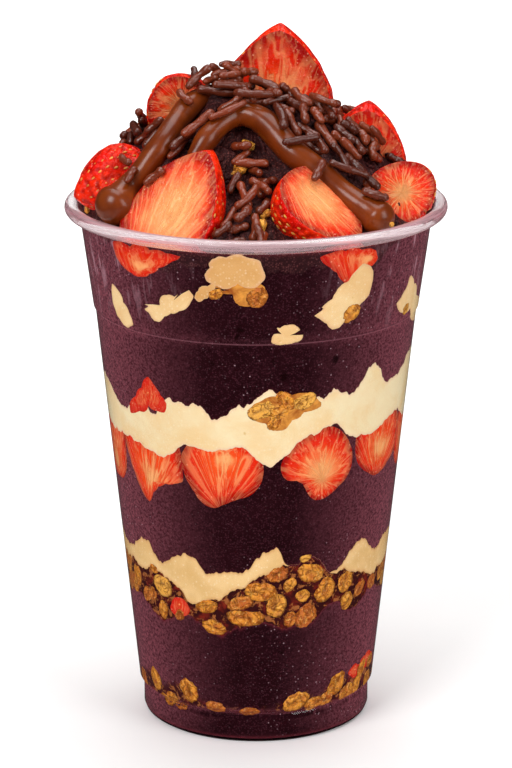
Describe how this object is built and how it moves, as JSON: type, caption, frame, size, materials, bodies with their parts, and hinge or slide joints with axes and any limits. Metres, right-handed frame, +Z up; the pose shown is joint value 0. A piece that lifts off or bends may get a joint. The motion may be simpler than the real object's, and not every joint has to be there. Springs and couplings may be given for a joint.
{
  "type": "acai cup",
  "caption": "Clear tumbler layered with acai, cream, granola and strawberry slices, heaped with strawberries, chocolate drizzle and sprinkles.",
  "frame": {"origin": "centre of the cup's foot, on the surface it stands on", "axes": "+Z up, -Y towards the pictured side, +X to its right"},
  "size_m": [0.098, 0.098, 0.1804],
  "materials": {
    "clear_plastic": "clear",
    "acai": "satin",
    "cream": "satin",
    "granola": "matte",
    "strawberry": "gloss",
    "chocolate": "gloss"
  },
  "bodies": {
    "root": {"cup": "clear_plastic", "acai_lower": "acai", "acai_middle": "acai", "acai_upper": "acai", "acai_top": "acai", "granola_bottom": "granola", "granola_lower": "granola", "granola_tucked_1": "granola", "granola_tucked_2": "granola", "cream_lower": "cream", "cream_upper": "cream", "cream_patch_1": "cream", "cream_patch_2": "cream", "cream_patch_3": "cream", "cream_patch_4": "cream", "cream_patch_5": "cream", "cream_patch_6": "cream", "cream_patch_7": "cream", "cream_patch_8": "cream", "cream_patch_9": "cream", "cream_patch_10": "cream", "strawberry_slice_1": "strawberry", "strawberry_slice_2": "strawberry", "strawberry_slice_3": "strawberry", "strawberry_slice_4": "strawberry", "strawberry_slice_5": "strawberry", "strawberry_slice_6": "strawberry", "strawberry_slice_7": "strawberry", "strawberry_slice_8": "strawberry", "strawberry_slice_9": "strawberry", "strawberry_slice_10": "strawberry", "strawberry_slice_11": "strawberry", "strawberry_tucked_1": "strawberry", "strawberry_tucked_2": "strawberry", "strawberry_back_tall": "strawberry", "strawberry_back_left": "strawberry", "strawberry_side_left": "strawberry", "strawberry_front_left": "strawberry", "strawberry_front_right": "strawberry", "strawberry_back_right": "strawberry", "strawberry_side_right": "strawberry", "strawberry_rear_left": "strawberry", "strawberry_rear_right": "strawberry"}
  },
  "joints": []
}
